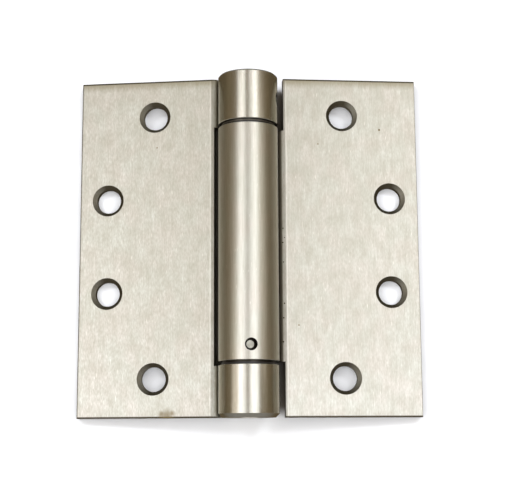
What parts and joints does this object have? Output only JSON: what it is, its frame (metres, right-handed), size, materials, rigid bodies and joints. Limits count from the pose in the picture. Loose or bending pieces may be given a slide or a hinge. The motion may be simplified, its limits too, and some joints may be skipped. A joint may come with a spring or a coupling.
{
  "type": "spring loaded door hinge",
  "caption": "Self closing butt hinge: two square-cornered leaves on a barrel that holds a torsion spring, wound by a hub in one end knuckle and held by a pin.",
  "frame": {"origin": "on the pin axis at mid length, which is the centre of the bounding box", "axes": "+Y along the pin towards the end that winds the spring, +Z out of the front faces of the open leaves, +X towards the leaf with the long tube. It lies open on its back."},
  "size_m": [0.1142, 0.1142, 0.02],
  "materials": {
    "satin_nickel_leaf": "satin brushed nickel plate",
    "turned_steel": "turned steel",
    "spring_steel": "oiled spring steel",
    "black_nylon": "moulded nylon",
    "grey_sleeve": "thin plastic sleeve"
  },
  "bodies": {
    "frame_side": {"frame_leaf": "satin_nickel_leaf", "hub_ring": "spring_steel", "upper_washer": "turned_steel", "lower_washer": "turned_steel", "lower_bushing": "black_nylon", "bottom_tip": "satin_nickel_leaf"},
    "door_side": {"door_leaf": "satin_nickel_leaf", "upper_bushing": "black_nylon", "torsion_spring": "spring_steel", "spring_liner": "grey_sleeve", "spring_anchor": "turned_steel", "anchor_dowel": "turned_steel"},
    "hub": {"tension_hub": "turned_steel"}
  },
  "joints": [
    {"name": "leaf_swing", "type": "hinge", "parent": "frame_side", "child": "door_side", "pos_m": [0, 0, 0], "axis": [0, -1, 0], "range_deg": [-120, 191.63], "deforming": ["torsion_spring"]},
    {"name": "tension_turn", "type": "hinge", "parent": "frame_side", "child": "hub", "pos_m": [0, 0.048, 0], "axis": [0, -1, 0], "range_deg": [0, 270], "deforming": ["torsion_spring"]}
  ]
}
